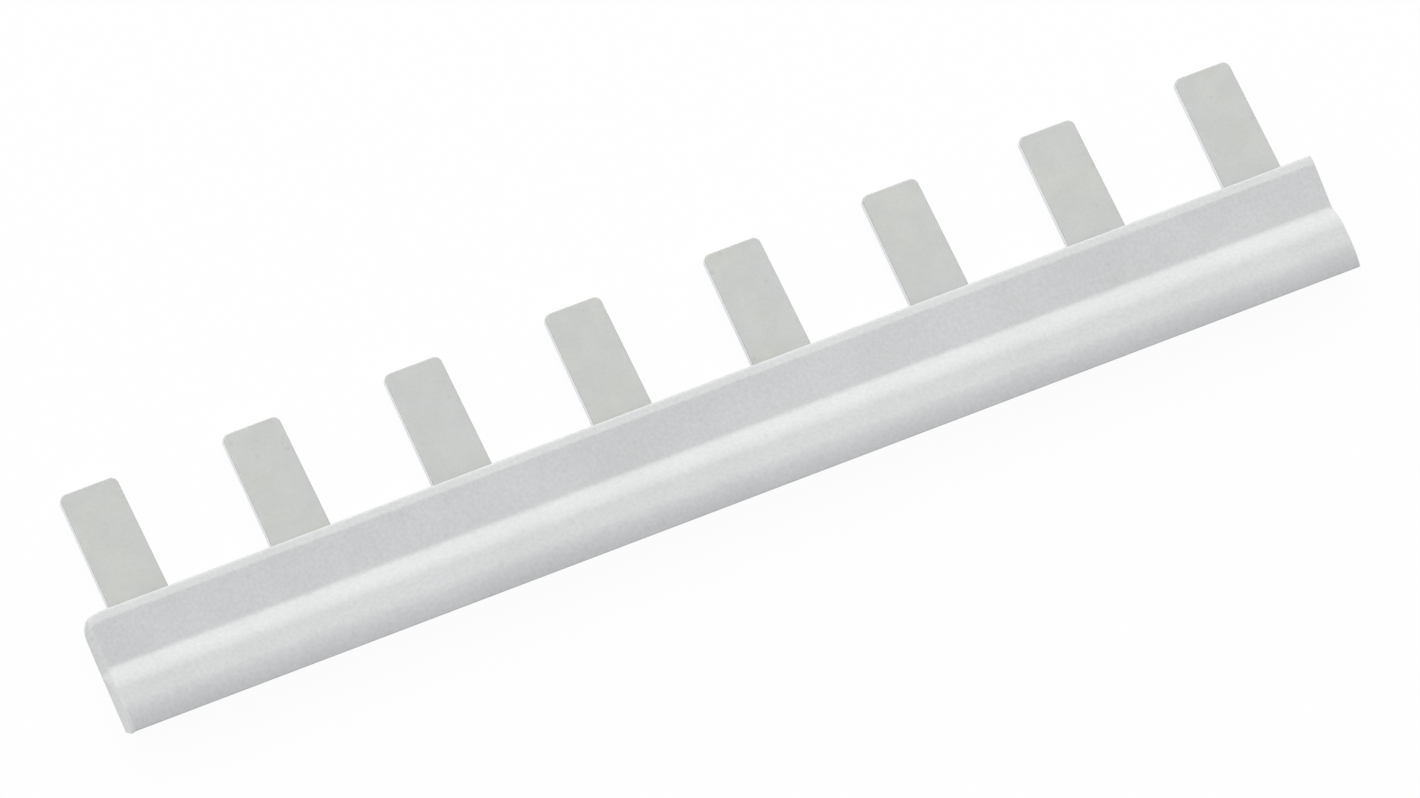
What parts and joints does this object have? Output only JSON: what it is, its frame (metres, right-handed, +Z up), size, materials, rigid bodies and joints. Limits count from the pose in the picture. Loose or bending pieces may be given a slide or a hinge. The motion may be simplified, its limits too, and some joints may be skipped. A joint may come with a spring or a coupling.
{
  "type": "relay jumper bar",
  "caption": "Comb-type jumper bar for relay sockets: flat tinned blades in a row on one stamped strip, held in the slot of a moulded grey insulating sleeve with a rounded nose.",
  "frame": {"origin": "middle of the bar's outline, on the plane of the sleeve's flat back that it lies on", "axes": "+X along the bar towards its trimmed end, +Y out along the blades, +Z up through the front of the sleeve"},
  "size_m": [0.1224, 0.0226, 0.0036],
  "materials": {
    "tinned_strip": "matt tin plating over stamped brass strip",
    "grey_sleeve": "satin moulded plastic, light grey"
  },
  "bodies": {
    "root": {"contact_comb": "tinned_strip", "insulating_sleeve": "grey_sleeve"}
  },
  "joints": []
}
